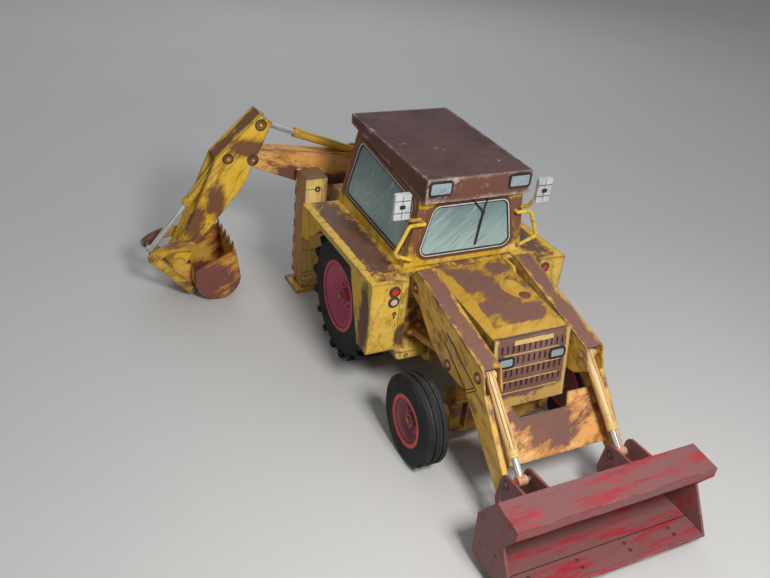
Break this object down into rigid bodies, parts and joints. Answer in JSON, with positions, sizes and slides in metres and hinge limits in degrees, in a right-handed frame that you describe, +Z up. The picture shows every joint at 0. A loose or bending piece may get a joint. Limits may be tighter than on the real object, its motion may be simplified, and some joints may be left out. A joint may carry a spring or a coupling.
{
  "type": "card model of a backhoe loader",
  "caption": "Weathered card model of a backhoe loader with a steering front axle, front loader bucket, closed cab, stabilisers and a slewed rear digging arm.",
  "frame": {"origin": "on the ground under the middle of the rear axle, on the machine's mid plane", "axes": "+Z up, -Y to the machine's front, +X to the machine's left"},
  "size_m": [0.1567, 0.2462, 0.103],
  "materials": {
    "roof_card": "matte",
    "glass_print": "satin",
    "lamp_print": "satin",
    "red_print": "satin",
    "white_print": "satin",
    "grille_card": "matte",
    "tyre_card": "matte",
    "rim_card": "matte",
    "wood_pin": "matte",
    "bucket_card": "matte",
    "barrel_card": "matte",
    "rod_paper": "satin",
    "boom_card": "matte",
    "mirror_card": "satin",
    "yellow_card": "matte"
  },
  "bodies": {
    "chassis": {"chassis_frame": "yellow_card", "rear_body": "yellow_card", "hood": "yellow_card", "grille": "grille_card", "headlamps": "lamp_print", "cab_shell": "yellow_card", "windscreen": "glass_print", "side_windows": "glass_print", "rear_window": "glass_print", "roof": "roof_card", "roof_lamps": "lamp_print", "mirrors": "mirror_card", "grab_handle": "yellow_card", "mudguards": "yellow_card", "cab_steps": "yellow_card", "red_lamps": "red_print", "white_lamps": "white_print", "front_axle": "yellow_card", "rear_axle": "wood_pin", "loader_towers": "yellow_card", "stabiliser_columns": "yellow_card", "rear_frame": "yellow_card", "slew_carriage": "yellow_card"},
    "stabiliser_right": {"stabiliser_leg_right": "yellow_card"},
    "stabiliser_left": {"stabiliser_leg_left": "yellow_card"},
    "steering_right": {"knuckle_right": "yellow_card"},
    "steering_left": {"knuckle_left": "yellow_card"},
    "front_wheel_right": {"front_tyre_right": "tyre_card", "front_rim_right": "rim_card"},
    "front_wheel_left": {"front_tyre_left": "tyre_card", "front_rim_left": "rim_card"},
    "rear_wheel_right": {"rear_tyre_right": "tyre_card", "rear_rim_right": "rim_card"},
    "rear_wheel_left": {"rear_tyre_left": "tyre_card", "rear_rim_left": "rim_card"},
    "loader_arms_body": {"loader_arms": "yellow_card", "loader_arm_pins": "wood_pin", "cross_plate": "yellow_card"},
    "lift_barrel_body": {"lift_barrels": "barrel_card"},
    "lift_rod_body": {"lift_rods": "rod_paper"},
    "tilt_barrel_body": {"tilt_barrels": "barrel_card"},
    "tilt_rod_body": {"tilt_rods": "rod_paper"},
    "loader_bucket_body": {"loader_bucket": "bucket_card"},
    "slew_post_body": {"slew_post": "yellow_card"},
    "boom_body": {"boom": "boom_card"},
    "boom_barrel_body": {"boom_barrel": "yellow_card"},
    "boom_rod_body": {"boom_rod": "rod_paper"},
    "dipper_body": {"dipper": "yellow_card"},
    "dipper_barrel_body": {"dipper_barrel": "yellow_card"},
    "dipper_rod_body": {"dipper_rod": "rod_paper"},
    "hoe_bucket_body": {"hoe_bucket": "yellow_card"},
    "bucket_barrel_body": {"bucket_barrel": "yellow_card"},
    "bucket_rod_body": {"bucket_rod": "rod_paper"},
    "tipping_lever_body": {"tipping_lever": "yellow_card"},
    "tipping_link_body": {"tipping_link": "yellow_card"}
  },
  "joints": [
    {"name": "steer_right", "type": "hinge", "parent": "chassis", "child": "steering_right", "pos_m": [-0.0215, -0.076, 0.0185], "axis": [0, 0, 1], "range_deg": [-30, 30]},
    {"name": "steer_left", "type": "hinge", "parent": "chassis", "child": "steering_left", "pos_m": [0.0215, -0.076, 0.0185], "axis": [0, 0, 1], "range_deg": [-30.5, 30.5]},
    {"name": "front_wheel_right_spin", "type": "hinge", "parent": "steering_right", "child": "front_wheel_right", "pos_m": [-0.03755, -0.076, 0.0185], "axis": [1, 0, 0], "continuous": true},
    {"name": "front_wheel_left_spin", "type": "hinge", "parent": "steering_left", "child": "front_wheel_left", "pos_m": [0.03755, -0.076, 0.0185], "axis": [1, 0, 0], "continuous": true},
    {"name": "rear_wheel_right_spin", "type": "hinge", "parent": "chassis", "child": "rear_wheel_right", "pos_m": [-0.0322, 0, 0.0298], "axis": [1, 0, 0], "continuous": true},
    {"name": "rear_wheel_left_spin", "type": "hinge", "parent": "chassis", "child": "rear_wheel_left", "pos_m": [0.0322, 0, 0.0298], "axis": [1, 0, 0], "continuous": true},
    {"name": "stabiliser_right_slide", "type": "slide", "parent": "chassis", "child": "stabiliser_right", "axis": [0, 0, 1], "range_m": [0, 0.004]},
    {"name": "stabiliser_left_slide", "type": "slide", "parent": "chassis", "child": "stabiliser_left", "axis": [0, 0, 1], "range_m": [0, 0.004]},
    {"name": "loader_lift", "type": "hinge", "parent": "chassis", "child": "loader_arms_body", "pos_m": [0, -0.0455, 0.0585], "axis": [-1, 0, 0], "range_deg": [-3, 45]},
    {"name": "lift_barrel_swing", "type": "hinge", "parent": "chassis", "child": "lift_barrel_body", "pos_m": [0, -0.043, 0.035], "axis": [-1, 0, 0], "range_deg": [-2.58, 31.64]},
    {"name": "lift_rod_slide", "type": "slide", "parent": "lift_barrel_body", "child": "lift_rod_body", "axis": [0, -0.9779, 0.2091], "range_m": [-0.00151, 0.01567]},
    {"name": "loader_tilt", "type": "hinge", "parent": "loader_arms_body", "child": "loader_bucket_body", "pos_m": [0, -0.1235, 0.016], "axis": [1, 0, 0], "range_deg": [-30, 70]},
    {"name": "tilt_barrel_swing", "type": "hinge", "parent": "loader_arms_body", "child": "tilt_barrel_body", "pos_m": [0, -0.0959, 0.0502], "axis": [1, 0, 0], "range_deg": [-2.36, 1.3]},
    {"name": "tilt_rod_slide", "type": "slide", "parent": "tilt_barrel_body", "child": "tilt_rod_body", "axis": [0, -0.7552, -0.6555], "range_m": [-0.00482, 0.01057]},
    {"name": "hoe_slew", "type": "hinge", "parent": "chassis", "child": "slew_post_body", "pos_m": [0.012, 0.0742, 0.0415], "axis": [0, 0, -1], "range_deg": [0, 180]},
    {"name": "hoe_boom", "type": "hinge", "parent": "slew_post_body", "child": "boom_body", "pos_m": [-0.0005, 0.0742, 0.0415], "axis": [0, 1, 0], "range_deg": [-30, 40]},
    {"name": "boom_barrel_swing", "type": "hinge", "parent": "slew_post_body", "child": "boom_barrel_body", "pos_m": [0.001, 0.0742, 0.024], "axis": [0, 1, 0], "range_deg": [-19.44, 25.75]},
    {"name": "boom_rod_slide", "type": "slide", "parent": "boom_barrel_body", "child": "boom_rod_body", "axis": [-0.7419, 0, 0.6705], "range_m": [-0.0061, 0.00797]},
    {"name": "hoe_dipper", "type": "hinge", "parent": "boom_body", "child": "dipper_body", "pos_m": [-0.0583, 0.0742, 0.0696], "axis": [0, -1, 0], "range_deg": [-55, 26]},
    {"name": "dipper_barrel_swing", "type": "hinge", "parent": "boom_body", "child": "dipper_barrel_body", "pos_m": [-0.002, 0.0742, 0.0671], "axis": [0, -1, 0], "range_deg": [-3.94, 7.79]},
    {"name": "dipper_rod_slide", "type": "slide", "parent": "dipper_barrel_body", "child": "dipper_rod_body", "axis": [-0.9361, 0, 0.3517], "range_m": [-0.01574, 0.00771]},
    {"name": "hoe_bucket_curl", "type": "hinge", "parent": "dipper_body", "child": "hoe_bucket_body", "pos_m": [-0.0954, 0.0742, 0.0182], "axis": [0, 1, 0], "range_deg": [0, 130]},
    {"name": "hoe_bucket_barrel_swing", "type": "hinge", "parent": "dipper_body", "child": "bucket_barrel_body", "pos_m": [-0.0706, 0.0742, 0.0712], "axis": [0, 1, 0], "range_deg": [-0.5, 7.32]},
    {"name": "hoe_bucket_rod_slide", "type": "slide", "parent": "bucket_barrel_body", "child": "bucket_rod_body", "axis": [-0.618, 0, -0.7862], "range_m": [-0.02428, 0.0005]},
    {"name": "tipping_lever_swing", "type": "hinge", "parent": "dipper_body", "child": "tipping_lever_body", "pos_m": [-0.0896, 0.0742, 0.0282], "axis": [0, 1, 0], "range_deg": [-0.5, 82.65]},
    {"name": "tipping_link_swing", "type": "hinge", "parent": "tipping_lever_body", "child": "tipping_link_body", "pos_m": [-0.1077, 0.0742, 0.024], "axis": [0, 1, 0], "range_deg": [-11.58, 0.5]}
  ],
  "couplings": [
    {"joint": "steer_left", "follows": "steer_right", "ratio": 1},
    {"joint": "lift_barrel_swing", "follows": "loader_lift", "ratio": 0.69199},
    {"joint": "lift_rod_slide", "follows": "loader_lift", "m_per_rad": 0.019315},
    {"joint": "tilt_barrel_swing", "follows": "loader_tilt", "ratio": -0.026526},
    {"joint": "tilt_rod_slide", "follows": "loader_tilt", "m_per_rad": 0.0082457},
    {"joint": "boom_barrel_swing", "follows": "hoe_boom", "ratio": 0.63118},
    {"joint": "boom_rod_slide", "follows": "hoe_boom", "m_per_rad": 0.010698},
    {"joint": "dipper_barrel_swing", "follows": "hoe_dipper", "ratio": -0.1325},
    {"joint": "dipper_rod_slide", "follows": "hoe_dipper", "m_per_rad": 0.015879},
    {"joint": "hoe_bucket_barrel_swing", "follows": "hoe_bucket_curl", "ratio": 0.052456},
    {"joint": "hoe_bucket_rod_slide", "follows": "hoe_bucket_curl", "m_per_rad": -0.01048},
    {"joint": "tipping_lever_swing", "follows": "hoe_bucket_curl", "ratio": 0.63196},
    {"joint": "tipping_link_swing", "follows": "hoe_bucket_curl", "ratio": -0.085234}
  ]
}
